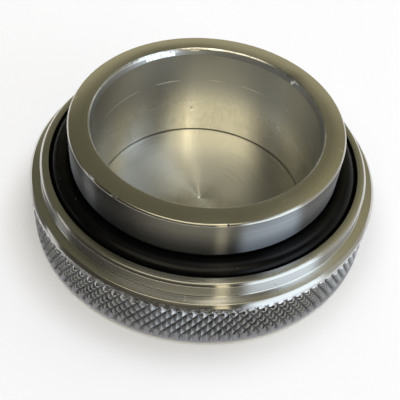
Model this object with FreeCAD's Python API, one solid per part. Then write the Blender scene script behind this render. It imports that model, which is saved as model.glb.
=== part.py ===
import FreeCAD, Part
import math
import os

# Weld-on filler neck with its screw cap and seal ring, lengths in millimetres.
# The set stands as it is laid on a bench: the cap's closed face is on z = 0, the
# common axis is Z, and the end of the neck that is welded to a tank points up.

# Weld neck: a plain spigot above the seal ring, a threaded head below it
TUBE_OD = 60.0
TUBE_WALL = 5.25
SPIGOT_LENGTH = 8.85
RIM_OUTER_CHAMFER = 0.3
RIM_BREAK_WIDTH = 0.85
RIM_BREAK_DEPTH = 1.1
RIM_BREAK_BULGE = 0.14
HEAD_INNER_CHAMFER = 0.4
HEAD_OUTER_CHAMFER = 0.8

# Seal ring, and the groove round the neck that it sits in
RING_SECTION = 6.0
RING_PROUD = 1.15
GROOVE_DEPTH = 1.55
GROOVE_CORNER_RADIUS = 0.3
GROOVE_SIDE_CLEARANCE = 0.1
RING_SLIP_CLEARANCE = 0.05
RING_LIP_CLEARANCE = 0.15

# Room between the plain walls of the thread, where its ridges mesh
THREAD_ROOM = 1.15

# Cap: closed end, ledge under the ring, lip round the ring, shoulder outside it
CAP_HEIGHT = 17.7
CAP_END_WALL = 2.4
NECK_END_GAP = 0.6
LIP_STEP_HEIGHT = 3.45
LIP_WALL = 2.0
LIP_CHAMFER = 0.55
LIP_INNER_CHAMFER = 0.15
STEP_FOOT_RADIUS = 0.4
SHOULDER_WIDTH = 2.55
SHOULDER_CHAMFER = 0.6
BASE_CHAMFER = 1.3
LEDGE_WIDTH = 0.6
LEDGE_CLEARANCE = 0.1
LEDGE_CHAMFER = 0.4
RELIEF_HEIGHT = 1.6
RELIEF_DEPTH = 0.3
CENTRE_MARK_RADIUS = 0.7
CENTRE_MARK_DEPTH = 0.35

# Diamond knurl rolled round the cap; its grooves fade out before both edges
KNURL_PITCH = 2.09
KNURL_ANGLE = 33.0
KNURL_DEPTH = 0.7
KNURL_RAISE = 0.06
KNURL_END_DEPTH = 0.3
KNURL_RUN_OUT = 0.6
KNURL_TOP_LAND = 1.4
KNURL_BASE_LAND = 0.4
SADDLE_SHARE = 0.5
TONGUE_SHARE = 0.5

# Radii, from the tube outwards
TUBE_R = TUBE_OD / 2
BORE_R = TUBE_R - TUBE_WALL
GROOVE_R = TUBE_R - GROOVE_DEPTH
RING_R = GROOVE_R + RING_SLIP_CLEARANCE + RING_SECTION / 2
LIP_BORE_R = RING_R + RING_SECTION / 2 + RING_LIP_CLEARANCE
LIP_R = LIP_BORE_R + LIP_WALL
CAP_R = LIP_R + SHOULDER_WIDTH
CAP_THREAD_R = LIP_BORE_R - LEDGE_WIDTH
HEAD_R = CAP_THREAD_R - THREAD_ROOM

# Heights, from the bench upwards
HEAD_Z = CAP_END_WALL + NECK_END_GAP
SHOULDER_Z = CAP_HEIGHT - LIP_STEP_HEIGHT
RING_Z = CAP_HEIGHT + RING_PROUD - RING_SECTION / 2
GROOVE_FOOT_Z = RING_Z - RING_SECTION / 2 - GROOVE_SIDE_CLEARANCE
GROOVE_TOP_Z = RING_Z + RING_SECTION / 2 + GROOVE_SIDE_CLEARANCE
RIM_Z = GROOVE_TOP_Z + SPIGOT_LENGTH
LEDGE_Z = GROOVE_FOOT_Z - LEDGE_CLEARANCE

# Knurl lattice: grooves cross where column and row are both even or both odd
KNURL_COUNT = round(2 * math.pi * CAP_R / KNURL_PITCH)
COLUMNS = 2 * KNURL_COUNT
COLUMN_ANGLE = 2 * math.pi / COLUMNS
ROW_HEIGHT = CAP_R * COLUMN_ANGLE / math.tan(math.radians(KNURL_ANGLE))
FIRST_ROW_Z = SHOULDER_Z - SHOULDER_CHAMFER - KNURL_TOP_LAND
LOWEST_ROW_Z = BASE_CHAMFER + KNURL_BASE_LAND + KNURL_RUN_OUT
LAST_ROW = int((FIRST_ROW_Z - LOWEST_ROW_Z) / ROW_HEIGHT)
CREST_R = CAP_R + KNURL_RAISE
CROSSING_R = CREST_R - KNURL_DEPTH
END_CROSSING_R = CAP_R - KNURL_END_DEPTH

AXIS_FOOT = FreeCAD.Vector(0, 0, 0)
AXIS = FreeCAD.Vector(0, 0, 1)
OUTWARD = FreeCAD.Vector(1, 0, 0)


def at(radius, height):
    """Point of a turned profile, in the XZ plane."""
    return FreeCAD.Vector(radius, 0, height)


def line(start, end):
    return Part.makeLine(start, end)


def corner_arc(start, corner, end):
    """Quarter arc that rounds a square corner between its two tangent points."""
    away = (start - corner) + (end - corner)
    middle = corner + away * (1 - math.sqrt(0.5))
    return Part.Arc(start, middle, end).toShape()


def weld_neck():
    """Thick tube: plain spigot, the ring's groove and the head that carries the thread."""
    end_inner = at(BORE_R + HEAD_INNER_CHAMFER, HEAD_Z)
    end_outer = at(HEAD_R - HEAD_OUTER_CHAMFER, HEAD_Z)
    head_foot = at(HEAD_R, HEAD_Z + HEAD_OUTER_CHAMFER)
    head_top = at(HEAD_R, GROOVE_FOOT_Z)
    groove_foot = at(GROOVE_R, GROOVE_FOOT_Z)
    foot_out = groove_foot + OUTWARD * GROOVE_CORNER_RADIUS
    foot_up = groove_foot + AXIS * GROOVE_CORNER_RADIUS
    groove_top = at(GROOVE_R, GROOVE_TOP_Z)
    top_down = groove_top - AXIS * GROOVE_CORNER_RADIUS
    top_out = groove_top + OUTWARD * GROOVE_CORNER_RADIUS
    spigot_foot = at(TUBE_R, GROOVE_TOP_Z)
    spigot_top = at(TUBE_R, RIM_Z - RIM_OUTER_CHAMFER)
    rim_outer = at(TUBE_R - RIM_OUTER_CHAMFER, RIM_Z)
    rim_inner = at(BORE_R + RIM_BREAK_WIDTH, RIM_Z)
    bore_top = at(BORE_R, RIM_Z - RIM_BREAK_DEPTH)
    break_middle = (rim_inner + bore_top) * 0.5 + (AXIS - OUTWARD) * RIM_BREAK_BULGE
    bore_foot = at(BORE_R, HEAD_Z + HEAD_INNER_CHAMFER)

    profile = Part.Wire([
        line(end_inner, end_outer),
        line(end_outer, head_foot),
        line(head_foot, head_top),
        line(head_top, foot_out),
        corner_arc(foot_out, groove_foot, foot_up),
        line(foot_up, top_down),
        corner_arc(top_down, groove_top, top_out),
        line(top_out, spigot_foot),
        line(spigot_foot, spigot_top),
        line(spigot_top, rim_outer),
        line(rim_outer, rim_inner),
        Part.Arc(rim_inner, break_middle, bore_top).toShape(),
        line(bore_top, bore_foot),
        line(bore_foot, end_inner),
    ])
    return Part.Face(profile).revolve(AXIS_FOOT, AXIS, 360)


def o_ring():
    """Round seal ring, partly sunk in the neck's groove."""
    return Part.makeTorus(RING_R, RING_SECTION / 2, at(0, RING_Z), AXIS)


def turned_cap_faces():
    """Turned skin of the cap, from the foot of the lip's step in to the centre mark."""
    step_foot = at(LIP_R, SHOULDER_Z)
    step_out = step_foot + OUTWARD * STEP_FOOT_RADIUS
    step_up = step_foot + AXIS * STEP_FOOT_RADIUS
    lip_outer_side = at(LIP_R, CAP_HEIGHT - LIP_CHAMFER)
    lip_outer_top = at(LIP_R - LIP_CHAMFER, CAP_HEIGHT)
    lip_inner_top = at(LIP_BORE_R + LIP_INNER_CHAMFER, CAP_HEIGHT)
    lip_inner_side = at(LIP_BORE_R, CAP_HEIGHT - LIP_INNER_CHAMFER)
    ledge_outer = at(LIP_BORE_R, LEDGE_Z)
    ledge_inner = at(CAP_THREAD_R + LEDGE_CHAMFER, LEDGE_Z)
    thread_top = at(CAP_THREAD_R, LEDGE_Z - LEDGE_CHAMFER)
    thread_foot = at(CAP_THREAD_R, CAP_END_WALL + RELIEF_HEIGHT)
    relief_top = at(CAP_THREAD_R + RELIEF_DEPTH, CAP_END_WALL + RELIEF_HEIGHT - RELIEF_DEPTH)
    relief_foot = at(CAP_THREAD_R + RELIEF_DEPTH, CAP_END_WALL)
    mark_edge = at(CENTRE_MARK_RADIUS, CAP_END_WALL)
    mark_point = at(0, CAP_END_WALL - CENTRE_MARK_DEPTH)

    profile = Part.Wire([
        corner_arc(step_out, step_foot, step_up),
        line(step_up, lip_outer_side),
        line(lip_outer_side, lip_outer_top),
        line(lip_outer_top, lip_inner_top),
        line(lip_inner_top, lip_inner_side),
        line(lip_inner_side, ledge_outer),
        line(ledge_outer, ledge_inner),
        line(ledge_inner, thread_top),
        line(thread_top, thread_foot),
        line(thread_foot, relief_top),
        line(relief_top, relief_foot),
        line(relief_foot, mark_edge),
        line(mark_edge, mark_point),
    ])
    return profile.revolve(AXIS_FOOT, AXIS, 360).Faces


def on_column(column, radius, height):
    """Point on the cap's outside, where a column is half a knurl pitch."""
    angle = column * COLUMN_ANGLE
    return FreeCAD.Vector(radius * math.cos(angle), radius * math.sin(angle), height)


def outline(radius, height):
    """Closed ring of points, one on each column."""
    return [on_column(column, radius, height) for column in range(COLUMNS)]


def lattice(column, row):
    """Lattice point of the knurl: a crossing of two grooves, or a crest between them."""
    height = FIRST_ROW_Z - row * ROW_HEIGHT
    if (column + row) % 2:
        return on_column(column, CREST_R, height)
    if row in (0, LAST_ROW):
        return on_column(column, END_CROSSING_R, height)
    return on_column(column, CROSSING_R, height)


def diamonds():
    """Four slopes of every whole raised diamond."""
    facets = []
    for row in range(1, LAST_ROW):
        for column in range((row + 1) % 2, COLUMNS, 2):
            crest = lattice(column, row)
            above = lattice(column, row - 1)
            left = lattice(column - 1, row)
            below = lattice(column, row + 1)
            right = lattice(column + 1, row)
            facets += [
                (crest, above, left),
                (crest, left, below),
                (crest, below, right),
                (crest, right, above),
            ]
    return facets


def run_out(row, side, land):
    """Groove ends beyond the first (side 1) or last (side -1) row, up to the plain land."""
    row_z = FIRST_ROW_Z - row * ROW_HEIGHT
    tip_z = row_z + side * KNURL_RUN_OUT
    saddle_z = row_z + side * KNURL_RUN_OUT * SADDLE_SHARE
    tongue_z = row_z - side * ROW_HEIGHT * TONGUE_SHARE
    facets = []
    for column in range(row % 2, COLUMNS, 2):
        crossing = lattice(column, row)
        saddle = on_column(column, CAP_R, saddle_z)
        for way in (-1, 1):
            tip = on_column(column + way / 2, CAP_R, tip_z)
            tongue = on_column(column + way, CAP_R, tongue_z)
            valley = lattice(column + way, row + side)
            beside = land[(column + way) % COLUMNS]
            facets += [
                (crossing, saddle, tip),
                (crossing, tip, tongue),
                (crossing, tongue, valley),
                (land[column], saddle, tip),
                (land[column], tip, beside),
                (beside, tip, tongue),
            ]
    return facets


def bands(lower, upper):
    """Flat strips between two outlines."""
    following = [(column + 1) % COLUMNS for column in range(COLUMNS)]
    return [(lower[a], lower[b], upper[b], upper[a]) for a, b in enumerate(following)]


def flat(points):
    """Plane face through the points."""
    return Part.Face(Part.makePolygon([*points, points[0]]))


def cap():
    """Cap: knurled outside, stepped lip, ledge under the ring and closed end."""
    base_edge = outline(CAP_R - BASE_CHAMFER, 0)
    base_land = outline(CAP_R, BASE_CHAMFER)
    shoulder_land = outline(CAP_R, SHOULDER_Z - SHOULDER_CHAMFER)
    shoulder_edge = outline(CAP_R - SHOULDER_CHAMFER, SHOULDER_Z)
    step_circle = Part.makeCircle(LIP_R + STEP_FOOT_RADIUS, at(0, SHOULDER_Z), AXIS)
    lip_area = Part.Face(Part.Wire([step_circle]))

    facets = bands(base_edge, base_land)
    facets += run_out(LAST_ROW, -1, base_land)
    facets += diamonds()
    facets += run_out(0, 1, shoulder_land)
    facets += bands(shoulder_land, shoulder_edge)

    faces = [flat(points) for points in facets]
    faces.append(flat(base_edge))
    faces += flat(shoulder_edge).cut(lip_area).Faces
    faces += turned_cap_faces()
    skin = Part.makeCompound(faces)
    skin.sewShape()
    return Part.Solid(skin.Shells[0])


def main():
    os.makedirs("parts", exist_ok=True)
    cap().exportStep("parts/cap.step")
    weld_neck().exportStep("parts/weld_neck.step")
    o_ring().exportStep("parts/o_ring.step")


main()
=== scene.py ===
import math

import bmesh
import bpy
from mathutils import Matrix, Vector, noise


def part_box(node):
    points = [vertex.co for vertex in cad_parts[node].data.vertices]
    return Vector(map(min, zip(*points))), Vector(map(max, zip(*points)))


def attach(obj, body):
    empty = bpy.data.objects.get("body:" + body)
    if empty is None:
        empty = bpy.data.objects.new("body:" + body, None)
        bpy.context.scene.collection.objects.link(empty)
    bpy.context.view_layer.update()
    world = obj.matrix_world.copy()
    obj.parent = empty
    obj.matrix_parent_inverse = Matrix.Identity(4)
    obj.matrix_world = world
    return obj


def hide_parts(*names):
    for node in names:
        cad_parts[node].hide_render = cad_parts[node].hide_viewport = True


# Dressed model of a weld-on filler neck with its knurled screw cap and seal ring.
# The set lies on its cap, neck up. Sizes are in millimetres, objects in metres.

MM = 0.001

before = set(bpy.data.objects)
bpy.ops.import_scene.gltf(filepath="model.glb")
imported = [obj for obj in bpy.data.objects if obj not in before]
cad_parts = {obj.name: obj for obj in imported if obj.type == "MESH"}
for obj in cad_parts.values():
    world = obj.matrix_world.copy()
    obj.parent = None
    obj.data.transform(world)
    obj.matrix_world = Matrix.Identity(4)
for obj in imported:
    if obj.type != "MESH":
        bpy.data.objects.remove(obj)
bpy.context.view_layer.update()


def top_of(node):
    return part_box(node)[1].z / MM


def foot_of(node):
    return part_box(node)[0].z / MM


# Sizes taken from the solids
RIM_Z = top_of("weld_neck")
HEAD_Z = foot_of("weld_neck")
LIP_Z = top_of("cap")
RING_TOP_Z = top_of("o_ring")
RING_FOOT_Z = foot_of("o_ring")

# Neck
TUBE_R = 30.0
BORE_R = 24.75
HEAD_R = 32.9
GROOVE_R = 28.45
GROOVE_GAP = 0.1
GROOVE_CORNER = 0.3
HEAD_CHAMFER = 0.8
BORE_CHAMFER = 0.12
RIM_CHAMFER = 0.38

# The foot stands lower than in the solids, so that only a thin line shows over the floor
FOOT_DROP = 0.35
NECK_FOOT_Z = HEAD_Z - FOOT_DROP

# Hand-filed break of the rim's inner edge; each filed place is its direction and half width
# in degrees and how far it is filed. Elsewhere the edge is only skimmed.
RIM_BREAK_WIDTH = 0.85
RIM_BREAK_DEPTH = 1.35
SKIM_OUT = 0.1
SKIM_UP = 0.39
SKIM_DOWN = 0.2
FILED_PLACES = ((121, 22, 1.0), (101, 11, 0.8), (42, 5, 0.9))

# Seal ring
RING_PLAY = 0.05
RING_SECTION_R = (RING_TOP_Z - RING_FOOT_Z) / 2
RING_R = GROOVE_R + RING_PLAY + RING_SECTION_R
RING_Z = (RING_TOP_Z + RING_FOOT_Z) / 2
RING_STEPS = 48

# Cap
LIP_GAP = 0.15
LIP_WIDTH = 2.0
STEP_WIDTH = 2.55
STEP_HEIGHT = 3.45
LIP_BORE_R = RING_R + RING_SECTION_R + LIP_GAP
LIP_R = LIP_BORE_R + LIP_WIDTH
CAP_R = LIP_R + STEP_WIDTH
SHOULDER_Z = LIP_Z - STEP_HEIGHT
FLOOR_Z = 2.4
LEDGE_WIDTH = 0.6
LEDGE_DROP = 0.1
LEDGE_CHAMFER = 0.4
FEMALE_R = LIP_BORE_R - LEDGE_WIDTH
LEDGE_Z = RING_FOOT_Z - GROOVE_GAP - LEDGE_DROP
RELIEF_DEPTH = 0.3
RELIEF_HEIGHT = 1.3
SHOULDER_CHAMFER = 0.6
BASE_CHAMFER = 1.3
LIP_CHAMFER = 0.55
STEP_FOOT = 0.4
DISH_R = 4.8
DISH_DEPTH = 0.2
PIP_R = 0.6
PIP_DEPTH = 0.3

# Small rounding of the turned edges
EDGE = 0.07

# Thread; its root and crest widths are shares of the lead
THREAD_LEAD = 2.0
MALE_CREST_R = 33.85
MALE_TURNS = 3.3
FEMALE_CREST_R = 33.1
FEMALE_TURNS = 2.7
THREAD_START = 1.85
THREAD_FOOT_Z = HEAD_Z + THREAD_START
THREAD_STEPS = 96
ROOT_SINK = 0.05
ROOT_SHARE = 0.92
CREST_SHARE = 0.14
RUN_IN_TURNS = 0.12
RUN_IN_HEIGHT = 0.6

# Knurl; a row is the height between two crossings of its grooves
KNURL_COUNT = 118
KNURL_ANGLE = 33.0
KNURL_DEPTH = 0.7
KNURL_RAISE = 0.06
RAISE_START = 0.2
RAISE_ROWS = 0.6
KNURL_TOP_LAND = 1.4
KNURL_ROWS = 6
KNURL_CUTS = 6
STRIP_ROWS = KNURL_ROWS + 1
RUN_OUT_ROWS = 0.375
RUN_IN_ROWS = 0.5
FOOT_RUN_OUT_ROWS = 0.47
COLUMN_ANGLE = math.pi / KNURL_COUNT
ROW_HEIGHT = CAP_R * COLUMN_ANGLE / math.tan(math.radians(KNURL_ANGLE))
FIRST_ROW_Z = SHOULDER_Z - SHOULDER_CHAMFER - KNURL_TOP_LAND
KNURL_MIDDLE_Z = FIRST_ROW_Z - KNURL_ROWS / 2 * ROW_HEIGHT
KNURL_HALF_HEIGHT = STRIP_ROWS / 2 * ROW_HEIGHT
STRIP_FACES = 3
TURN_STEPS = STRIP_FACES * KNURL_COUNT


# Modelling helpers

def at(radius, height):
    """Point of a turned outline, in metres."""
    return Vector((radius * MM, 0, height * MM))


def rounded(corner, before, after, size, cuts=3):
    """Short arc across a corner of an outline, from one side of it to the other."""
    start = corner + (before - corner).normalized() * size * MM
    end = corner + (after - corner).normalized() * size * MM
    steps = [cut / cuts for cut in range(cuts + 1)]
    return [start * (1 - t) ** 2 + corner * 2 * t * (1 - t) + end * t ** 2 for t in steps]


def softened(corners, closed=False):
    """Outline through (radius, height, edge size) corners with every sized corner rounded."""
    points = [at(radius, height) for radius, height, edge in corners]
    outline = []
    last = len(corners) - 1
    for index, point in enumerate(points):
        edge = corners[index][2]
        inner = closed or 0 < index < last
        if edge and inner:
            after = points[(index + 1) % len(points)]
            outline += rounded(point, points[index - 1], after, edge)
        else:
            outline.append(point)
    return outline


def start_vertex(name, place):
    """New piece with a single selected vertex, left in edit mode."""
    bpy.ops.object.select_all(action="DESELECT")
    bpy.ops.mesh.primitive_plane_add(size=MM)
    piece = bpy.context.object
    piece.name = name
    piece.data.name = name
    bpy.ops.object.mode_set(mode="EDIT")
    bpy.ops.mesh.select_all(action="SELECT")
    bpy.ops.mesh.merge(type="CENTER")
    bpy.ops.transform.translate(value=place)
    return piece


def draw_outline(name, outline, closed=False):
    """Wire of an outline, drawn by extruding a vertex from point to point."""
    piece = start_vertex(name, outline[0])
    for here, there in zip(outline, outline[1:]):
        bpy.ops.mesh.extrude_region_move(TRANSFORM_OT_translate={"value": there - here})
    if closed:
        bpy.ops.mesh.extrude_region_move(TRANSFORM_OT_translate={"value": outline[0] - outline[-1]})
        bpy.ops.mesh.select_all(action="SELECT")
        bpy.ops.mesh.remove_doubles(threshold=MM * 1e-4)
    return piece


def spin_round():
    """Turn the drawn wire a full turn about the axis."""
    bpy.ops.mesh.select_all(action="SELECT")
    bpy.ops.mesh.spin(steps=TURN_STEPS, angle=2 * math.pi, center=(0, 0, 0), axis=(0, 0, 1))


def close_up():
    """Merge doubled points, turn the faces outwards and leave edit mode."""
    bpy.ops.mesh.select_all(action="SELECT")
    bpy.ops.mesh.remove_doubles(threshold=MM * 1e-3)
    bpy.ops.mesh.normals_make_consistent(inside=False)
    bpy.ops.object.mode_set(mode="OBJECT")


def select_only(*pieces):
    bpy.ops.object.select_all(action="DESELECT")
    for piece in pieces:
        piece.select_set(True)
    bpy.context.view_layer.objects.active = pieces[0]


def join(*pieces):
    """Join the pieces into the first one."""
    select_only(*pieces)
    bpy.ops.object.join()
    return pieces[0]


def smooth(piece, degrees=32):
    select_only(piece)
    bpy.ops.object.shade_smooth_by_angle(angle=math.radians(degrees))


def outward_share(place, normal):
    """How far a normal points straight away from the axis, from -1 to 1."""
    return (normal.x * place.x + normal.y * place.y) / math.hypot(place.x, place.y)


# Thread ridges

def thread_ridge(name, wall_r, crest_r, foot_z, turns):
    """Helical ridge of a right-hand thread, its root sunk a little into its wall."""
    root_half = THREAD_LEAD / 2 * ROOT_SHARE
    crest_half = THREAD_LEAD / 2 * CREST_SHARE
    root_r = wall_r - ROOT_SINK if crest_r > wall_r else wall_r + ROOT_SINK
    outline = [
        at(root_r, foot_z - root_half),
        at(crest_r, foot_z - crest_half),
        at(crest_r, foot_z + crest_half),
        at(root_r, foot_z + root_half),
    ]
    ridge = draw_outline(name, outline, closed=True)
    bpy.ops.object.mode_set(mode="OBJECT")
    screw = ridge.modifiers.new("helix", "SCREW")
    screw.angle = 2 * math.pi * turns
    screw.screw_offset = THREAD_LEAD * MM * turns
    screw.steps = int(THREAD_STEPS * turns)
    screw.render_steps = screw.steps
    select_only(ridge)
    bpy.ops.object.modifier_apply(modifier=screw.name)
    for vertex in ridge.data.vertices:
        x, y, z = vertex.co
        radius = math.hypot(x, y) / MM
        climbed = (z / MM - foot_z) / THREAD_LEAD
        run_in = min(climbed, turns - climbed) / RUN_IN_TURNS + RUN_IN_HEIGHT
        if abs(radius - crest_r) < 0.01 and run_in < 1:
            new_radius = root_r + (crest_r - root_r) * max(run_in, 0.05)
            vertex.co = Vector((x * new_radius / radius, y * new_radius / radius, z))
    bpy.ops.object.mode_set(mode="EDIT")
    bpy.ops.mesh.select_all(action="SELECT")
    bpy.ops.mesh.fill_holes(sides=0)
    close_up()
    return ridge


# Neck

def neck_outline():
    groove_foot = RING_FOOT_Z - GROOVE_GAP
    groove_top = RING_TOP_Z + GROOVE_GAP
    return softened([
        (BORE_R, NECK_FOOT_Z + BORE_CHAMFER, EDGE),
        (BORE_R + BORE_CHAMFER, NECK_FOOT_Z, EDGE),
        (HEAD_R - HEAD_CHAMFER, NECK_FOOT_Z, EDGE),
        (HEAD_R, HEAD_Z + HEAD_CHAMFER, EDGE),
        (HEAD_R, groove_foot, EDGE),
        (GROOVE_R, groove_foot, GROOVE_CORNER),
        (GROOVE_R, groove_top, GROOVE_CORNER),
        (TUBE_R, groove_top, EDGE),
        (TUBE_R, RIM_Z - RIM_CHAMFER, EDGE),
        (TUBE_R - RIM_CHAMFER, RIM_Z, EDGE),
        (BORE_R + RIM_BREAK_WIDTH, RIM_Z, EDGE),
        (BORE_R + RIM_BREAK_WIDTH / 2, RIM_Z - RIM_BREAK_DEPTH / 2, 0.2),
        (BORE_R, RIM_Z - RIM_BREAK_DEPTH, EDGE),
    ], closed=True)


def filed_share(angle):
    """How much of the rim's inner edge is filed away at an angle: 0 only skimmed, 1 filed flat."""
    share = 0
    for middle, half_width, amount in FILED_PLACES:
        away = (angle - math.radians(middle) + math.pi) % (2 * math.pi) - math.pi
        share = max(share, amount * math.exp(-(math.degrees(away) / half_width) ** 2))
    jag = noise.noise(Vector((math.cos(angle), math.sin(angle), 0)) * 14)
    chip = noise.noise(Vector((math.cos(angle), math.sin(angle), 2)) * 38)
    return share * (1 + 0.2 * jag + 0.15 * chip) + 0.04 * chip


def file_rim_edge(neck):
    """Draw the edge's middle out and up and its foot down wherever the file only skimmed it."""
    middle = RIM_BREAK_DEPTH / 2
    for vertex in neck.data.vertices:
        x, y, z = vertex.co / MM
        radius = math.hypot(x, y)
        depth = RIM_Z - z
        if radius > BORE_R + RIM_BREAK_WIDTH + 0.1 or depth > RIM_BREAK_DEPTH + 0.1:
            continue
        skimmed = 1 - filed_share(math.atan2(y, x))
        near_middle = max(1 - abs(depth - middle) / middle, 0)
        near_foot = min(max(depth / middle - 1, 0), 1)
        new_radius = radius + SKIM_OUT * near_middle * skimmed
        new_z = z + (SKIM_UP * near_middle - SKIM_DOWN * near_foot) * skimmed
        vertex.co = Vector((x * new_radius / radius, y * new_radius / radius, new_z)) * MM


def make_neck():
    neck = draw_outline("neck_body", neck_outline(), closed=True)
    spin_round()
    close_up()
    file_rim_edge(neck)
    thread = thread_ridge("male_thread", HEAD_R, MALE_CREST_R, THREAD_FOOT_Z, MALE_TURNS)
    join(neck, thread)
    smooth(neck)
    return neck


# Seal ring

def make_ring():
    section = []
    for step in range(RING_STEPS):
        a = 2 * math.pi * step / RING_STEPS
        section.append(at(RING_R + RING_SECTION_R * math.cos(a), RING_Z + RING_SECTION_R * math.sin(a)))
    ring = draw_outline("seal_ring", section, closed=True)
    spin_round()
    close_up()
    smooth(ring, 60)
    return ring


# Cap

def groove_distances(column, row):
    """Distances from the middles of the two crossing grooves, 0 in a groove and 1 on a crest."""
    return abs((column - row + 1) % 2 - 1), abs((column + row + 1) % 2 - 1)


def strip_place(spot):
    """Column and row of the knurl at a place on the flat strip."""
    return spot.x + 1, -0.5 + (1 - spot.y) / 2 * STRIP_ROWS


def knurl_fall(column, row):
    """Depth below the land of the knurl's grooves, in millimetres."""
    from_top = (row + RUN_OUT_ROWS) / (RUN_OUT_ROWS + RUN_IN_ROWS)
    from_foot = (KNURL_ROWS + FOOT_RUN_OUT_ROWS - row) / FOOT_RUN_OUT_ROWS
    plunge = KNURL_DEPTH * min(max(min(from_top, from_foot), 0), 1)
    return max(plunge - KNURL_DEPTH * min(groove_distances(column, row)), 0)


def knurl_point(column, row):
    from_end = min(row, KNURL_ROWS - row) + RAISE_START
    raised = KNURL_RAISE * min(max(from_end / RAISE_ROWS, 0), 1)
    radius = CAP_R + raised - knurl_fall(column, row)
    angle = column * COLUMN_ANGLE
    height = FIRST_ROW_Z - row * ROW_HEIGHT
    return Vector((radius * math.cos(angle), radius * math.sin(angle), height)) * MM


def knurl_strip():
    """Strip of the knurl one pitch wide, with its plain lands, left in edit mode."""
    across = 2 * KNURL_CUTS
    down = STRIP_ROWS * KNURL_CUTS
    bpy.ops.object.select_all(action="DESELECT")
    bpy.ops.mesh.primitive_grid_add(x_subdivisions=across, y_subdivisions=down, size=2)
    strip = bpy.context.object
    strip.name = "cap_body"
    bpy.ops.object.mode_set(mode="EDIT")
    mesh = bmesh.from_edit_mesh(strip.data)
    for face in mesh.faces:
        first, second = groove_distances(*strip_place(face.calc_center_median()))
        face.select = first < second
    bmesh.update_edit_mesh(strip.data)
    bpy.ops.mesh.quads_convert_to_tris(quad_method="FIXED_ALTERNATE")
    mesh = bmesh.from_edit_mesh(strip.data)
    for face in mesh.faces:
        face.select = len(face.verts) == 4
    bmesh.update_edit_mesh(strip.data)
    bpy.ops.mesh.quads_convert_to_tris(quad_method="FIXED")
    mesh = bmesh.from_edit_mesh(strip.data)
    for vertex in mesh.verts:
        vertex.co = knurl_point(*strip_place(vertex.co))
    bmesh.update_edit_mesh(strip.data)
    return strip


def extend_land(strip, from_z, to_z):
    """Extrude an end row of the strip to a land edge that has fewer points."""
    mesh = bmesh.from_edit_mesh(strip.data)
    bpy.ops.mesh.select_all(action="DESELECT")
    for edge in mesh.edges:
        edge.select = edge.is_boundary and all(abs(v.co.z - from_z * MM) < 1e-7 for v in edge.verts)
    bmesh.update_edit_mesh(strip.data)
    bpy.ops.mesh.extrude_edges_move(TRANSFORM_OT_translate={"value": (0, 0, (to_z - from_z) * MM)})
    mesh = bmesh.from_edit_mesh(strip.data)
    spacing = 2 * math.pi / TURN_STEPS
    ends = [v for v in mesh.verts if abs(v.co.z - to_z * MM) < 1e-7]
    extra = []
    for vertex in ends:
        share = math.atan2(vertex.co.y, vertex.co.x) / spacing
        if abs(share - round(share)) > 0.01:
            extra.append(vertex)
    bmesh.ops.dissolve_verts(mesh, verts=extra)
    bmesh.update_edit_mesh(strip.data)


def knurl_round(strip):
    """Repeat the strip all round the cap."""
    copies = KNURL_COUNT - 1
    angle = 2 * math.pi * copies / KNURL_COUNT
    bpy.ops.mesh.select_all(action="SELECT")
    bpy.ops.mesh.spin(steps=copies, dupli=True, angle=angle, center=(0, 0, 0), axis=(0, 0, 1))
    bpy.ops.mesh.select_all(action="SELECT")
    bpy.ops.mesh.remove_doubles(threshold=MM * 1e-3)
    bpy.ops.object.mode_set(mode="OBJECT")


def on_outside(middle):
    """Whether a place, in millimetres, lies on the cap's outer face or in its knurl."""
    return math.hypot(middle.x, middle.y) > CAP_R - KNURL_DEPTH - 0.1


def cap_base_outline():
    return softened([
        (CAP_R, BASE_CHAMFER, 0),
        (CAP_R - BASE_CHAMFER, 0, 0.15),
        (0, 0, 0),
    ])


def cap_top_outline():
    relief_r = FEMALE_R + RELIEF_DEPTH
    relief_top = FLOOR_Z + RELIEF_HEIGHT
    return softened([
        (CAP_R, SHOULDER_Z - SHOULDER_CHAMFER, 0),
        (CAP_R - SHOULDER_CHAMFER, SHOULDER_Z, EDGE),
        (LIP_R, SHOULDER_Z, STEP_FOOT),
        (LIP_R, LIP_Z - LIP_CHAMFER, EDGE),
        (LIP_R - LIP_CHAMFER, LIP_Z, EDGE),
        (LIP_BORE_R, LIP_Z, 0.15),
        (LIP_BORE_R, LEDGE_Z, EDGE),
        (FEMALE_R + LEDGE_CHAMFER, LEDGE_Z, EDGE),
        (FEMALE_R, LEDGE_Z - LEDGE_CHAMFER, EDGE),
        (FEMALE_R, relief_top + RELIEF_DEPTH, EDGE),
        (relief_r, relief_top, EDGE),
        (relief_r, FLOOR_Z, EDGE),
        (DISH_R, FLOOR_Z, 0.8),
        (PIP_R, FLOOR_Z - DISH_DEPTH, 0.1),
        (0, FLOOR_Z - DISH_DEPTH - PIP_DEPTH, 0),
    ])


def make_cap():
    strip = knurl_strip()
    extend_land(strip, FIRST_ROW_Z + ROW_HEIGHT / 2, SHOULDER_Z - SHOULDER_CHAMFER)
    extend_land(strip, FIRST_ROW_Z - (KNURL_ROWS + 0.5) * ROW_HEIGHT, BASE_CHAMFER)
    knurl_round(strip)
    base = draw_outline("cap_base", cap_base_outline())
    spin_round()
    bpy.ops.object.mode_set(mode="OBJECT")
    top = draw_outline("cap_top", cap_top_outline())
    spin_round()
    bpy.ops.object.mode_set(mode="OBJECT")
    cap = join(strip, base, top)
    bpy.ops.object.mode_set(mode="EDIT")
    close_up()
    foot_z = THREAD_FOOT_Z + THREAD_LEAD / 2
    thread = thread_ridge("female_thread", FEMALE_R, FEMALE_CREST_R, foot_z, FEMALE_TURNS)
    join(cap, thread)
    smooth(cap)
    for face in cap.data.polygons:
        middle = face.center / MM
        if on_outside(middle) and outward_share(middle, face.normal) < 0.999:
            face.use_smooth = abs(middle.z - KNURL_MIDDLE_Z) > KNURL_HALF_HEIGHT
    return cap


# Shader groups

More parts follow.
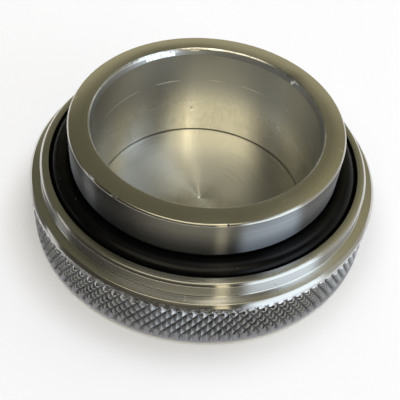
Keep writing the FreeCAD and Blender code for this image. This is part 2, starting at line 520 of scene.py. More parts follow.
def add(tree, kind, sockets=None, **settings):
    """New node with its settings, and its sockets set to a value or joined to another socket."""
    node = tree.nodes.new("ShaderNode" + kind)
    for name, value in settings.items():
        setattr(node, name, value)
    for name, value in (sockets or {}).items():
        if isinstance(value, bpy.types.NodeSocket):
            tree.links.new(value, node.inputs[name])
        else:
            node.inputs[name].default_value = value
    return node


def maths(tree, operation, first, second=0.0, clamp=False):
    node = add(tree, "Math", {0: first, 1: second}, operation=operation, use_clamp=clamp)
    return node.outputs[0]


def fade(tree, value, low, high, to_low=0.0, to_high=1.0, soft=True):
    """Map a value from one range to another, clamped at both ends."""
    kind = "SMOOTHSTEP" if soft else "LINEAR"
    sockets = {"Value": value, "From Min": low, "From Max": high, "To Min": to_low, "To Max": to_high}
    return add(tree, "MapRange", sockets, interpolation_type=kind).outputs["Result"]


def blend_color(tree, factor, first, second):
    node = add(tree, "Mix", {"Factor": factor}, data_type="RGBA")
    for socket, value in ((node.inputs[6], first), (node.inputs[7], second)):
        if isinstance(value, bpy.types.NodeSocket):
            tree.links.new(value, socket)
        else:
            socket.default_value = (*value, 1)
    return node.outputs[2]


def turned_about_axis(tree, place, angle):
    sockets = {"Vector": place, "Angle": angle}
    return add(tree, "VectorRotate", sockets, rotation_type="Z_AXIS").outputs[0]


def new_group(name, inputs, outputs):
    """Empty shader group; returns it with its input sockets and the node that takes its outputs."""
    group = bpy.data.node_groups.new(name, "ShaderNodeTree")
    for label, kind, value in inputs:
        socket = group.interface.new_socket(label, in_out="INPUT", socket_type="NodeSocket" + kind)
        if value is not None:
            socket.default_value = value
    for label, kind in outputs:
        group.interface.new_socket(label, in_out="OUTPUT", socket_type="NodeSocket" + kind)
    entry = group.nodes.new("NodeGroupInput")
    leave = group.nodes.new("NodeGroupOutput")
    return group, entry.outputs, leave


def place_group(tree, group, sockets=None):
    return add(tree, "Group", sockets, node_tree=group).outputs


def round_place_group():
    """Radius and height in millimetres, and the direction round the axis as a unit vector."""
    outputs = (("Radius", "Float"), ("Height", "Float"), ("Direction", "Vector"))
    group, _, leave = new_group("round_place", (), outputs)
    here = add(group, "TexCoord").outputs["Object"]
    flat = add(group, "VectorMath", {0: here, 1: (1, 1, 0)}, operation="MULTIPLY").outputs[0]
    length = add(group, "VectorMath", {0: flat}, operation="LENGTH").outputs["Value"]
    direction = add(group, "VectorMath", {0: flat}, operation="NORMALIZE").outputs[0]
    height = add(group, "SeparateXYZ", {0: here}).outputs["Z"]
    group.links.new(maths(group, "DIVIDE", length, MM), leave.inputs["Radius"])
    group.links.new(maths(group, "DIVIDE", height, MM), leave.inputs["Height"])
    group.links.new(direction, leave.inputs["Direction"])
    return group


def turning_marks_group(round_place):
    """Lines that a turning tool leaves round a piece, finer and coarser ones together."""
    inputs = (("Spacing", "Float", 0.2), ("Wander", "Float", 0.4))
    group, given, leave = new_group("turning_marks", inputs, (("Lines", "Float"), ("Bands", "Float")))
    place = place_group(group, round_place)
    climb = maths(group, "MULTIPLY", place["Height"], 1.37)
    along = maths(group, "ADD", place["Radius"], climb)
    drift = add(group, "TexNoise", {"Vector": place["Direction"], "Scale": 1.3, "Detail": 1}).outputs[0]
    along = maths(group, "ADD", along, maths(group, "MULTIPLY", drift, given["Wander"]))
    fine = maths(group, "DIVIDE", along, given["Spacing"])
    coarse = maths(group, "DIVIDE", fine, 7)
    for label, place_along, detail, roughness in (("Lines", fine, 2, 0.7), ("Bands", coarse, 1, 0.5)):
        sockets = {"W": place_along, "Scale": 1, "Detail": detail, "Roughness": roughness}
        marks = add(group, "TexNoise", sockets, noise_dimensions="1D")
        group.links.new(marks.outputs[0], leave.inputs[label])
    return group


def hair_scratches_group():
    """Thin bent scratches from handling, in short broken lengths."""
    inputs = (("Scale", "Float", 90), ("Thin", "Float", 0.006), ("Amount", "Float", 0.5))
    group, given, leave = new_group("hair_scratches", inputs, (("Mask", "Float"),))
    here = add(group, "TexCoord").outputs["Object"]
    total = None
    for turn in (0.4, 1.9):
        turned = turned_about_axis(group, here, turn)
        drawn = add(group, "VectorMath", {0: turned, 1: (1, 0.22, 1)}, operation="MULTIPLY").outputs[0]
        wave = add(group, "TexNoise", {"Vector": drawn, "Scale": given["Scale"], "Detail": 1.5}).outputs[0]
        gap = maths(group, "ABSOLUTE", maths(group, "SUBTRACT", wave, 0.5))
        line = maths(group, "SUBTRACT", 1, maths(group, "DIVIDE", gap, given["Thin"]), clamp=True)
        total = maths(group, "MAXIMUM", line, total) if total else line
    patches = add(group, "TexNoise", {"Vector": here, "Scale": 170, "Detail": 1}).outputs[0]
    from_share = maths(group, "SUBTRACT", 0.72, maths(group, "MULTIPLY", given["Amount"], 0.3))
    kept = fade(group, patches, from_share, 0.72)
    group.links.new(maths(group, "MULTIPLY", total, kept), leave.inputs["Mask"])
    return group


def spot_mark_group():
    """One small mark at a place on a piece; sizes in millimetres along the three axes."""
    inputs = (("Place", "Vector", None), ("Size", "Vector", (0.3, 0.3, 0.3)), ("Turn", "Float", 0))
    group, given, leave = new_group("spot_mark", inputs, (("Mask", "Float"),))
    here = add(group, "TexCoord").outputs["Object"]
    away = add(group, "VectorMath", {0: here, 1: given["Place"]}, operation="SUBTRACT").outputs[0]
    turned = turned_about_axis(group, away, given["Turn"])
    scaled = add(group, "VectorMath", {0: turned, "Scale": 1 / MM}, operation="SCALE").outputs[0]
    share = add(group, "VectorMath", {0: scaled, 1: given["Size"]}, operation="DIVIDE").outputs[0]
    length = add(group, "VectorMath", {0: share}, operation="LENGTH").outputs["Value"]
    group.links.new(fade(group, length, 1.0, 0.6), leave.inputs["Mask"])
    return group


def specks_group():
    """Scattered specks of dust."""
    inputs = (("Scale", "Float", 700), ("Size", "Float", 0.12), ("Share", "Float", 0.1))
    group, given, leave = new_group("specks", inputs, (("Mask", "Float"),))
    here = add(group, "TexCoord").outputs["Object"]
    cells = add(group, "TexVoronoi", {"Vector": here, "Scale": given["Scale"]})
    near = maths(group, "LESS_THAN", cells.outputs["Distance"], given["Size"])
    pick = add(group, "SeparateColor", {0: cells.outputs["Color"]}).outputs[0]
    chosen = maths(group, "LESS_THAN", pick, given["Share"])
    group.links.new(maths(group, "MULTIPLY", near, chosen), leave.inputs["Mask"])
    return group


ROUND_PLACE = round_place_group()
TURNING_MARKS = turning_marks_group(ROUND_PLACE)
HAIR_SCRATCHES = hair_scratches_group()
SPOT_MARK = spot_mark_group()
SPECKS = specks_group()


# Materials

def on_piece(azimuth, radius, height):
    """Place on a piece from its direction in degrees, radius and height in millimetres."""
    a = math.radians(azimuth)
    return Vector((radius * math.cos(a), radius * math.sin(a), height)) * MM


# Height of the line where the boring tool stopped
TOOL_STOP_Z = 18.8

# How far the normals of tooled faces lean upwards, as a share of their length
WALL_LEAN = 0.9
LAND_LEAN = 0.72
KNURL_LEAN = 0.35
TOP_ROW_LEAN = 0.36
FOOT_ROW_LEAN = -0.05
CHAMFER_LEAN = -0.03

# Colours, each metal with a duller one
CAP_METAL = ((0.65, 0.64, 0.605), (0.57, 0.56, 0.51))
NECK_METAL = ((0.65, 0.633, 0.575), (0.57, 0.553, 0.485))
# painted light: the cap's floor is a brighter copy of the cap's aluminium
FLOOR_LIT_METAL = ((0.9, 0.885, 0.83), (0.83, 0.815, 0.76))
# painted shade: the lip's step wall is a darker copy of the cap's aluminium
STEP_SHADED_METAL = ((0.49, 0.49, 0.475), (0.43, 0.43, 0.405))
# painted shade: the tube wall is a much darker copy of the neck's aluminium
TUBE_SHADED_METAL = ((0.27, 0.275, 0.28), (0.225, 0.23, 0.235))
# painted shade darkening the tube wall towards the seal ring
RING_SHADE = (0.06, 0.066, 0.075)
DARK_PIT = (0.08, 0.07, 0.06)
LIGHT_SCRATCH = (0.95, 0.93, 0.86)
# painted glint on the dents in the rim's outer edge
DENT_GLINT = (0.95, 0.95, 0.95)

# Single marks: place, size along the three axes, turn in degrees, colour and depth
DENT_SIZE = (0.35, 0.95, 0.3)
NECK_MARKS = (
    # nick in the rim's outer chamfer
    (on_piece(-78.6, 29.82, 27.6), (0.3, 0.26, 0.4), 78.6, (0.1, 0.09, 0.08), 0.05),
    # light scratches on the rim
    (on_piece(174.9, 29.3, 27.8), (0.12, 0.7, 0.3), 20, LIGHT_SCRATCH, 0.004),
    (on_piece(-11.4, 29.1, 27.8), (0.1, 0.8, 0.3), -40, LIGHT_SCRATCH, 0.004),
    # small dents in the rim's outer edge, their near-white colour a painted glint
    (on_piece(-136.2, 29.8, 27.62), DENT_SIZE, 136.2, DENT_GLINT, 0.04),
    (on_piece(-123.4, 29.8, 27.62), DENT_SIZE, 123.4, DENT_GLINT, 0.04),
)
CAP_MARKS = (
    # small pits by the lip's step
    (on_piece(-63.3, 36.65, 15.35), (0.16, 0.16, 0.16), 0, DARK_PIT, 0.02),
    (on_piece(-63.0, 37.6, 14.25), (0.17, 0.17, 0.17), 0, DARK_PIT, 0.02),
    # scratch across the shoulder
    (on_piece(-91.3, 37.6, 14.25), (0.08, 0.9, 0.3), 0, (0.9, 0.88, 0.8), 0.004),
)

# Stain in the bore and bits of dust on the ring: place and size
BORE_STAIN = (on_piece(100.4, 24.75, 9.81), (0.3, 0.5, 0.3))
RING_DUST = (
    (on_piece(-143.6, 31.7, 18.82), (0.16, 0.12, 0.4)),
    (on_piece(-107.8, 30.35, 18.5), (0.13, 0.1, 0.6)),
    (on_piece(-98.8, 30.15, 18.4), (0.15, 0.1, 0.6)),
)


def new_material(name):
    material = bpy.data.materials.new(name)
    material.use_nodes = True
    return material, material.node_tree, material.node_tree.nodes["Principled BSDF"]


def object_place(tree):
    return add(tree, "TexCoord").outputs["Object"]


def leaning_normal(tree, lean):
    """Surface normal tipped upwards, for tool lines whose open flanks face up."""
    normal = add(tree, "NewGeometry").outputs["Normal"]
    up = add(tree, "CombineXYZ", {"Z": lean}).outputs[0]
    total = add(tree, "VectorMath", {0: normal, 1: up}, operation="ADD").outputs[0]
    return add(tree, "VectorMath", {0: total}, operation="NORMALIZE").outputs[0]


def spot_mask(tree, place, size, turn=0):
    sockets = {"Place": place, "Size": size, "Turn": math.radians(turn)}
    return place_group(tree, SPOT_MARK, sockets)["Mask"]


def dress(tree, shader, tone, rough, height, lean=None, distance=MM, strength=1):
    """Give a material its colour, roughness and small relief."""
    relief = add(tree, "Bump", {"Height": height, "Distance": distance, "Strength": strength})
    if lean is not None:
        tree.links.new(leaning_normal(tree, lean), relief.inputs["Normal"])
    tree.links.new(tone, shader.inputs["Base Color"])
    tree.links.new(rough, shader.inputs["Roughness"])
    tree.links.new(relief.outputs[0], shader.inputs["Normal"])


def brush_round(shader, spread):
    """Spread the highlights across the tool lines that run round the axis."""
    shader.inputs["Anisotropic"].default_value = spread
    shader.inputs["Anisotropic Rotation"].default_value = 0.25


def turned_metal(name, colors, roughness, spread, lean=None, line_depth=0.001, spacing=0.16,
                 wander=0.25, grain_depth=0.0003, scratch_depth=0.0006, marks=(), foot_shade=None):
    """Turned aluminium: tool lines, fine grain, handling scratches and single marks."""
    color, dull_color = colors
    material, tree, shader = new_material(name)
    here = object_place(tree)
    lines = place_group(tree, TURNING_MARKS, {"Spacing": spacing, "Wander": wander})
    grain = add(tree, "TexNoise", {"Vector": here, "Scale": 3600, "Detail": 2, "Roughness": 0.6}).outputs[0]
    cloud = add(tree, "TexNoise", {"Vector": here, "Scale": 60, "Detail": 3}).outputs[0]
    tone = blend_color(tree, fade(tree, lines["Bands"], 0.35, 0.75, 0.45, 1), dull_color, color)
    tone = blend_color(tree, fade(tree, cloud, 0.45, 0.7, 0, 0.35), tone, dull_color)
    tone = blend_color(tree, fade(tree, grain, 0.5, 0.8, 0, 0.1), tone, dull_color)
    # painted shade: darker towards the seal ring, from 6.5 mm above it
    if foot_shade:
        climb = place_group(tree, ROUND_PLACE)["Height"]
        tone = blend_color(tree, fade(tree, climb, RING_TOP_Z + 6.5, RING_TOP_Z, 0, 0.9), tone, foot_shade)
    height = maths(tree, "MULTIPLY", lines["Lines"], line_depth)
    height = maths(tree, "ADD", height, maths(tree, "MULTIPLY", grain, grain_depth))
    rough = fade(tree, lines["Lines"], 0.3, 0.7, roughness * 0.9, roughness * 1.1)
    rough = maths(tree, "MULTIPLY", rough, fade(tree, grain, 0.3, 0.7, 0.97, 1.03))
    if scratch_depth:
        scratches = place_group(tree, HAIR_SCRATCHES)["Mask"]
        height = maths(tree, "SUBTRACT", height, maths(tree, "MULTIPLY", scratches, scratch_depth))
        rough = maths(tree, "ADD", rough, maths(tree, "MULTIPLY", scratches, 0.06))
    for place, size, turn, shade, depth in marks:
        spot = spot_mask(tree, place, size, turn)
        tone = blend_color(tree, spot, tone, shade)
        height = maths(tree, "SUBTRACT", height, maths(tree, "MULTIPLY", spot, depth))
    dress(tree, shader, tone, rough, height, lean)
    shader.inputs["Metallic"].default_value = 1
    brush_round(shader, spread)
    return material


def bored_metal():
    """Bore of the neck in colours brighter than the neck's aluminium, as painted light, darker and rougher
    towards the top: upright streaks, a faint line where the boring tool stopped, lightened as a painted
    highlight, and one stain.
    """
    material, tree, shader = new_material("bored_metal")
    place = place_group(tree, ROUND_PLACE)
    here = object_place(tree)
    climb = add(tree, "VectorMath", {0: here, 1: (0, 0, 18)}, operation="MULTIPLY").outputs[0]
    along = add(tree, "VectorMath", {0: place["Direction"], 1: climb}, operation="ADD").outputs[0]
    streaks = add(tree, "TexNoise", {"Vector": along, "Scale": 26, "Detail": 3, "Roughness": 0.7}).outputs[0]
    grain = add(tree, "TexNoise", {"Vector": here, "Scale": 3000, "Detail": 2}).outputs[0]
    # painted light: the bore's colours are brighter than the neck's own aluminium
    tone = blend_color(tree, fade(tree, streaks, 0.35, 0.7), (0.82, 0.8, 0.72), (0.9, 0.88, 0.81))
    tone = blend_color(tree, fade(tree, grain, 0.5, 0.8, 0, 0.15), tone, (0.7, 0.68, 0.6))
    # darker and rougher towards the top
    upper_share = fade(tree, place["Height"], TOOL_STOP_Z - 10, TOOL_STOP_Z + 1)
    tone = blend_color(tree, upper_share, tone, (0.54, 0.55, 0.555))
    broken = add(tree, "TexNoise", {"Vector": place["Direction"], "Scale": 3.2, "Detail": 2}).outputs[0]
    off_line = maths(tree, "ABSOLUTE", maths(tree, "SUBTRACT", place["Height"], TOOL_STOP_Z))
    stop_line = maths(tree, "MULTIPLY", fade(tree, off_line, 0.16, 0.05), fade(tree, broken, 0.47, 0.56))
    # the tool-stop line's near-white colour is a painted highlight on a real small step
    tone = blend_color(tree, stop_line, tone, (0.95, 0.95, 0.93))
    lines = place_group(tree, TURNING_MARKS, {"Spacing": 0.22, "Wander": 0.2})
    height = maths(tree, "MULTIPLY", lines["Lines"], 0.0004)
    height = maths(tree, "ADD", height, maths(tree, "MULTIPLY", streaks, 0.0003))
    height = maths(tree, "SUBTRACT", height, maths(tree, "MULTIPLY", stop_line, 0.02))
    tone = blend_color(tree, spot_mask(tree, *BORE_STAIN), tone, (0.12, 0.1, 0.06))
    rough = fade(tree, grain, 0.3, 0.7, 0.23, 0.26)
    rough = maths(tree, "ADD", rough, maths(tree, "MULTIPLY", upper_share, 0.14))
    rough = maths(tree, "ADD", rough, maths(tree, "MULTIPLY", stop_line, 0.3))
    dress(tree, shader, tone, rough, height)
    shader.inputs["Metallic"].default_value = 1
    brush_round(shader, 0.6)
    return material


def filed_metal():
    """Bright hand-filed edge round the mouth, with cross strokes and small chips."""
    material, tree, shader = new_material("filed_metal")
    here = object_place(tree)
    sockets = {"Vector": here, "Scale": 1400, "Detail": 3, "Roughness": 0.7}
    strokes = add(tree, "TexNoise", sockets).outputs[0]
    chips = add(tree, "TexVoronoi", {"Vector": here, "Scale": 1100}).outputs["Distance"]
    tone = blend_color(tree, fade(tree, strokes, 0.4, 0.75), (0.9, 0.9, 0.88), (0.55, 0.53, 0.46))
    height = maths(tree, "MULTIPLY", strokes, 0.006)
    height = maths(tree, "ADD", height, maths(tree, "MULTIPLY", chips, 0.005))
    dress(tree, shader, tone, fade(tree, strokes, 0.3, 0.7, 0.12, 0.26), height)
    shader.inputs["Metallic"].default_value = 1
    return material


def knurled_metal():
    """Rolled knurl, a darker copy of the cap's aluminium as painted shade, with painted shade in its grooves
    and run-out, painted glints on its top row, and the brighter lands beside it.
    """
    material, tree, shader = new_material("knurled_metal")
    place = place_group(tree, ROUND_PLACE)
    climb = place["Height"]
    here = object_place(tree)
    cloud = add(tree, "TexNoise", {"Vector": here, "Scale": 900, "Detail": 3}).outputs[0]
    grain = add(tree, "TexNoise", {"Vector": here, "Scale": 3600, "Detail": 2}).outputs[0]
    # painted shade: the grooves darken with their depth, and the crest colour is darker than the cap's own
    # aluminium
    depth = fade(tree, place["Radius"], CAP_R - 0.62, CAP_R - 0.05, soft=False)
    patchy = maths(tree, "MULTIPLY", maths(tree, "SUBTRACT", cloud, 0.5), 0.5)
    crest_tone_share = maths(tree, "ADD", depth, patchy, clamp=True)
    tone = blend_color(tree, crest_tone_share, (0.08, 0.08, 0.085), (0.43, 0.43, 0.42))
    on_skin = fade(tree, place["Radius"], CAP_R - 0.06, CAP_R - 0.02)
    near_top = fade(tree, climb, FIRST_ROW_Z - 0.7, FIRST_ROW_Z - 0.1)
    near_foot = fade(tree, climb, BASE_CHAMFER + 0.75, BASE_CHAMFER + 0.45)
    top_land = maths(tree, "MULTIPLY", on_skin, near_top)
    base_land = maths(tree, "MULTIPLY", on_skin, near_foot)
    run_out = fade(tree, climb, FIRST_ROW_Z - 0.4, FIRST_ROW_Z - 0.1)
    top_row = fade(tree, climb, FIRST_ROW_Z - 2.3, FIRST_ROW_Z - 1.8)
    top_row = maths(tree, "SUBTRACT", top_row, run_out)
    foot_row = fade(tree, climb, BASE_CHAMFER + 2.2, BASE_CHAMFER + 1.4)
    # painted glint: the top row's crests are lightened
    tone = blend_color(tree, maths(tree, "MULTIPLY", top_row, depth), tone, (0.57, 0.57, 0.57))
    # painted shade: the run-out below the top land is darkened
    tone = blend_color(tree, run_out, tone, (0.13, 0.13, 0.13))
    # on the foot row the colour is pulled towards a mid grey, easing the painted groove shade and darkening
    # the crests
    tone = blend_color(tree, maths(tree, "MULTIPLY", foot_row, 0.7), tone, (0.27, 0.27, 0.29))
    tone = blend_color(tree, top_land, tone, (0.65, 0.65, 0.64))
    # painted reflection: the land at the foot is darker and tinted blue
    tone = blend_color(tree, base_land, tone, (0.36, 0.36, 0.41))
    rough = fade(tree, cloud, 0.3, 0.7, 0.28, 0.42)
    rubbed = maths(tree, "ADD", top_land, top_row)
    rough = maths(tree, "SUBTRACT", rough, maths(tree, "MULTIPLY", rubbed, 0.12))
    lean = KNURL_LEAN
    for row, row_lean in ((top_row, TOP_ROW_LEAN), (run_out, LAND_LEAN), (foot_row, FOOT_ROW_LEAN)):
        lean = maths(tree, "ADD", maths(tree, "MULTIPLY", row, row_lean - KNURL_LEAN), lean)
    pitted = maths(tree, "MULTIPLY", cloud, fade(tree, top_land, 0, 1, 0.008, 0.0005))
    height = maths(tree, "ADD", pitted, maths(tree, "MULTIPLY", grain, 0.0008))
    dress(tree, shader, tone, rough, height, lean)
    shader.inputs["Metallic"].default_value = 1
    return material


def ring_rubber():
    """Black moulded rubber with a little dust."""
    material, tree, shader = new_material("seal_rubber")
    here = object_place(tree)
    dust = place_group(tree, SPECKS, {"Scale": 800, "Size": 0.16, "Share": 0.03})["Mask"]
    film = add(tree, "TexNoise", {"Vector": here, "Scale": 130, "Detail": 4, "Roughness": 0.7}).outputs[0]
    filmed = fade(tree, film, 0.5, 0.8, 0, 0.5)
    tone = blend_color(tree, filmed, (0.0012, 0.0012, 0.0013), (0.004, 0.004, 0.004))
    tone = blend_color(tree, dust, tone, (0.025, 0.025, 0.023))
    for place, size in RING_DUST:
        spot = spot_mask(tree, place, size)
        tone = blend_color(tree, spot, tone, (0.06, 0.058, 0.052))
    rough = fade(tree, film, 0.35, 0.7, 0.2, 0.32)
    dress(tree, shader, tone, rough, film, distance=MM * 0.03, strength=0.5)
    shader.inputs["Specular IOR Level"].default_value = 0.18
    return material


# Order of the finishes on each piece
NECK_TURNED, RIM_FACE, TUBE_WALL, BORE, FILED_EDGE, RIM_CHAMFER_FACE = range(6)
CAP_TURNED, KNURL, STEP_WALL, CAP_FLOOR, CAP_CHAMFER = range(5)


def neck_zone(middle, normal):
    """Finish of a neck face, from its middle in millimetres and its normal."""
    radius = math.hypot(middle.x, middle.y)
    outward = outward_share(middle, normal)
    in_mouth = radius < BORE_R + RIM_BREAK_WIDTH + 0.02 and middle.z > RIM_Z - 2
    if in_mouth and normal.z > 0.5:
        return FILED_EDGE
    if normal.z > 0.95 and middle.z > RIM_Z - 0.1:
        return RIM_FACE
    if outward > 0.95:
        return TUBE_WALL
    if outward < -0.8 and radius < BORE_R + RIM_BREAK_WIDTH:
        return BORE
    if outward > 0.3 and middle.z > RIM_Z - 1:
        return RIM_CHAMFER_FACE
    return NECK_TURNED


def cap_zone(middle, normal):
    """Finish of a cap face, from its middle in millimetres and its normal."""
    if on_outside(middle) and BASE_CHAMFER < middle.z < SHOULDER_Z - SHOULDER_CHAMFER:
        return KNURL
    outward = outward_share(middle, normal)
    if outward > 0.9 and middle.z > SHOULDER_Z:
        return STEP_WALL
    if normal.z > 0.7 and middle.z < FLOOR_Z + 0.1:
        return CAP_FLOOR
    if outward > 0.4 and middle.z > SHOULDER_Z - SHOULDER_CHAMFER:
        return CAP_CHAMFER
    return CAP_TURNED


def cap_finishes():
    return (
        turned_metal("cap_turned", CAP_METAL, 0.2, 0.88, spacing=0.3, grain_depth=0.00005,
                     scratch_depth=0.0002, marks=CAP_MARKS),
        knurled_metal(),
        turned_metal("cap_wall", STEP_SHADED_METAL, 0.2, 0.8, WALL_LEAN, spacing=0.35,
                     grain_depth=0.00003, scratch_depth=0, marks=CAP_MARKS),
        turned_metal("cap_floor", FLOOR_LIT_METAL, 0.24, 0.96, line_depth=0.0005, spacing=1.0,
                     wander=0.04, grain_depth=0.00001, scratch_depth=0),
        turned_metal("cap_chamfer", CAP_METAL, 0.13, 0.7, CHAMFER_LEAN,
                     grain_depth=0.0001, scratch_depth=0),
    )


def neck_finishes():
    return (
        turned_metal("neck_turned", NECK_METAL, 0.22, 0.8, marks=NECK_MARKS),
        turned_metal("rim_face", NECK_METAL, 0.17, 0.75, marks=NECK_MARKS),
        turned_metal("tube_wall", TUBE_SHADED_METAL, 0.22, 0.8, WALL_LEAN, spacing=0.3,
                     grain_depth=0.00005, scratch_depth=0, foot_shade=RING_SHADE),
        bored_metal(),
        filed_metal(),
        turned_metal("rim_chamfer", NECK_METAL, 0.13, 0.7, CHAMFER_LEAN,
                     grain_depth=0.0001, scratch_depth=0, marks=NECK_MARKS),
    )


def give_finishes(piece, finishes, zone):
    """Put the finishes on a piece, and on each face the one for its zone."""
    for finish in finishes:
        piece.data.materials.append(finish)
    for face in piece.data.polygons:
        face.material_index = zone(face.center / MM, face.normal)


# Pieces on their bodies

cap = make_cap()
neck = make_neck()
ring = make_ring()
for piece, body, node, slot in (
    (cap, "cap", "cap", "cap_aluminium"),
    (neck, "neck", "weld_neck", "neck_aluminium"),
    (ring, "seal", "o_ring", "ring_rubber"),
):
    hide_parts(node)
    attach(piece, body)
give_finishes(cap, cap_finishes(), cap_zone)
give_finishes(neck, neck_finishes(), neck_zone)
ring.data.materials.append(ring_rubber())


# Floor, light and camera

def toward(azimuth, elevation):
    """Unit vector from the middle of the set, with angles in degrees."""
    a = math.radians(azimuth)
    e = math.radians(elevation)
    return Vector((math.cos(e) * math.cos(a), math.cos(e) * math.sin(a), math.sin(e)))


def make_floor():
    bpy.ops.object.select_all(action="DESELECT")
    bpy.ops.mesh.primitive_plane_add(size=2.4)
    floor = bpy.context.object
    floor.name = "floor"
    material, _, shader = new_material("pale_floor")
    shader.inputs["Base Color"].default_value = (0.93, 0.93, 0.93, 1)
    shader.inputs["Roughness"].default_value = 0.9
    shader.inputs["Specular IOR Level"].default_value = 0.1
    floor.data.materials.append(material)


def soft_lamp(name, place, target, width, height, brightness, color, turn=0):
    """Rectangular lamp at a place, looking at a target; its brightness is that of its face."""
    lamp = bpy.data.lights.new(name, "AREA")
    lamp.shape = "RECTANGLE"
    lamp.size = width
    lamp.size_y = height
    lamp.energy = brightness * math.pi * width * height
    lamp.color = color
    holder = bpy.data.objects.new(name, lamp)
    bpy.context.scene.collection.objects.link(holder)
    facing = (target - place).to_track_quat("-Z", "Y").to_matrix().to_4x4()
    holder.matrix_world = Matrix.Translation(place) @ facing @ Matrix.Rotation(math.radians(turn), 4, "Z")
    return holder


def studio_panel_group():
    """Soft-edged panel of the studio, bounded by azimuth and elevation in degrees."""
    inputs = (
        ("Azimuth", "Float", 0), ("Elevation", "Float", 0), ("Middle", "Float", 0),
        ("Inside", "Float", 10), ("Outside", "Float", 20), ("Low", "Float", 0), ("High", "Float", 90),
        ("Edge", "Float", 5), ("Under", "Color", None), ("Panel", "Color", None),
    )
    group, given, leave = new_group("studio_panel", inputs, (("Color", "Color"),))
    turned = maths(group, "ADD", maths(group, "SUBTRACT", given["Azimuth"], given["Middle"]), 180)
    around = maths(group, "SUBTRACT", maths(group, "FLOORED_MODULO", turned, 360), 180)
    across = fade(group, maths(group, "ABSOLUTE", around), given["Outside"], given["Inside"])
    low_start = maths(group, "SUBTRACT", given["Low"], given["Edge"])
    low_end = maths(group, "ADD", given["Low"], given["Edge"])
    high_start = maths(group, "SUBTRACT", given["High"], given["Edge"])
    high_end = maths(group, "ADD", given["High"], given["Edge"])
    rising = fade(group, given["Elevation"], low_start, low_end)
    falling = fade(group, given["Elevation"], high_end, high_start)
    mask = maths(group, "MULTIPLY", across, maths(group, "MULTIPLY", rising, falling))
    group.links.new(blend_color(group, mask, given["Under"], given["Panel"]), leave.inputs["Color"])
    return group


STUDIO_DARK = (0.062, 0.058, 0.047)
STUDIO_PANELS = (
    # middle azimuth, inner and outer half width, low and high elevation, edge, colour
    (115, 45, 70, 25, 75, 8, (0.13, 0.124, 0.081)),
    (92, 22, 42, 12, 37, 3, (0.54, 0.5, 0.34)),
    (42, 27, 37, 38, 68, 6, (0.39, 0.36, 0.22)),
    (10, 34, 52, 2, 30, 8, (0.5, 0.49, 0.45)),
    (165, 18, 38, 2, 25, 8, (0.12, 0.117, 0.1)),
    (-35, 17, 27, 5, 33, 3, (1.4, 1.55, 1.7)),
    (-176, 4, 8, 12, 16, 2, (1.2, 1.2, 1.19)),
    (22, 12, 26, 53, 67, 4, (2.2, 2.5, 2.9)),
    (-97, 32, 72, 41.5, 65, 3.5, (1.85, 1.71, 1.265)),
    (0, 180, 181, 70, 100, 4, (0.42, 0.41, 0.36)),
    (-71, 2.5, 5, 21, 36, 3, (1.25, 1.11, 0.75)),
)

# Below the panels: the wall just over the horizon and the floor that runs out to it
HORIZON = (0.36, 0.36, 0.35)
FAR_FLOOR = (0.9, 0.9, 0.9)


def make_world():
    world = bpy.data.worlds.new("studio")
    bpy.context.scene.world = world
    world.use_nodes = True
    tree = world.node_tree
    direction = add(tree, "TexCoord").outputs["Generated"]
    split = add(tree, "SeparateXYZ", {"Vector": direction}).outputs
    azimuth = maths(tree, "DEGREES", maths(tree, "ARCTAN2", split["Y"], split["X"]))
    elevation = maths(tree, "DEGREES", maths(tree, "ARCSINE", split["Z"]))
    panel = studio_panel_group()
    color = None
    for middle, inside, outside, low, high, edge, tint in STUDIO_PANELS:
        sockets = {
            "Azimuth": azimuth, "Elevation": elevation, "Middle": middle, "Inside": inside,
            "Outside": outside, "Low": low, "High": high, "Edge": edge,
            "Under": color or (*STUDIO_DARK, 1), "Panel": (*tint, 1),
        }
        color = place_group(tree, panel, sockets)["Color"]
    color = blend_color(tree, fade(tree, elevation, 4, 1), color, HORIZON)
    color = blend_color(tree, fade(tree, elevation, 3.2, 2), color, FAR_FLOOR)
    tree.links.new(color, tree.nodes["Background"].inputs["Color"])


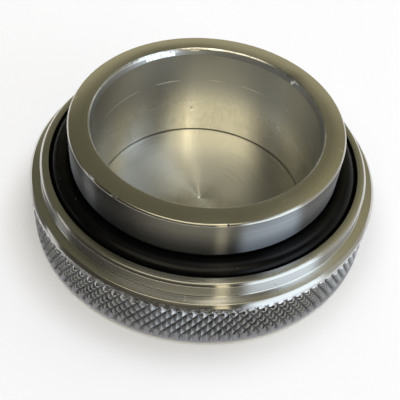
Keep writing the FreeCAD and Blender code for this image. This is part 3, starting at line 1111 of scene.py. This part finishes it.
def make_camera():
    """Camera at the photograph's place, worked out from its view of the round edges."""
    rim_edge_r = 29.7 * MM
    focal_px = 694.23
    frame_px = 400
    middle_px = (191.05, 200.14)
    elevation = math.radians(41.11)
    distance = 5.0707 * rim_edge_r
    pan, tilt, roll = (math.radians(angle) for angle in (0.690, 6.789, 5.757))
    place = Vector((0, -distance * math.cos(elevation), distance * math.sin(elevation)))
    ahead = -place.normalized()
    right = Vector((1, 0, 0))
    up = right.cross(ahead)
    view = Matrix((right, -up, ahead))
    turn_pan = Matrix((
        (math.cos(pan), 0, math.sin(pan)),
        (0, 1, 0),
        (-math.sin(pan), 0, math.cos(pan)),
    ))
    turn_tilt = Matrix((
        (1, 0, 0),
        (0, math.cos(tilt), -math.sin(tilt)),
        (0, math.sin(tilt), math.cos(tilt)),
    ))
    turn_roll = Matrix((
        (math.cos(roll), -math.sin(roll), 0),
        (math.sin(roll), math.cos(roll), 0),
        (0, 0, 1),
    ))
    view = turn_roll @ turn_tilt @ turn_pan @ view
    camera = bpy.data.cameras.new("camera")
    camera.sensor_width = 36
    camera.lens = focal_px / frame_px * camera.sensor_width
    camera.shift_x = (frame_px / 2 - middle_px[0]) / frame_px
    camera.shift_y = (middle_px[1] - frame_px / 2) / frame_px
    camera.clip_start = 0.005
    holder = bpy.data.objects.new("camera", camera)
    bpy.context.scene.collection.objects.link(holder)
    axes = Matrix((view[0], -view[1], -view[2])).transposed()
    holder.matrix_world = Matrix.Translation(place + Vector((0, 0, RIM_Z * MM))) @ axes.to_4x4()
    bpy.context.scene.camera = holder


def make_lamps():
    """Two fills that light only the floor and the rubber, and a strip that the metal reflects."""
    middle = Vector((0, 0, 0))
    fill_color = (0.85, 0.87, 1)
    key = soft_lamp("key_fill", toward(50, 52) * 1.3, middle, 0.9, 0.9, 0.97, fill_color)
    above = Vector((0, 0, 1.3))
    overhead = soft_lamp("overhead_fill", above, middle, 1.6, 1.6, 1.62, fill_color)
    key.visible_glossy = False
    overhead.visible_glossy = False
    strip = Vector((0.17, -0.172, 1))
    under_strip = Vector((strip.x, strip.y, 0))
    soft_lamp("overhead_strip", strip, under_strip, 0.08, 1.1, 1.9, (1, 0.93, 0.72), 12.4)


make_floor()
make_world()
make_camera()
make_lamps()
bpy.context.scene.view_settings.view_transform = "Standard"
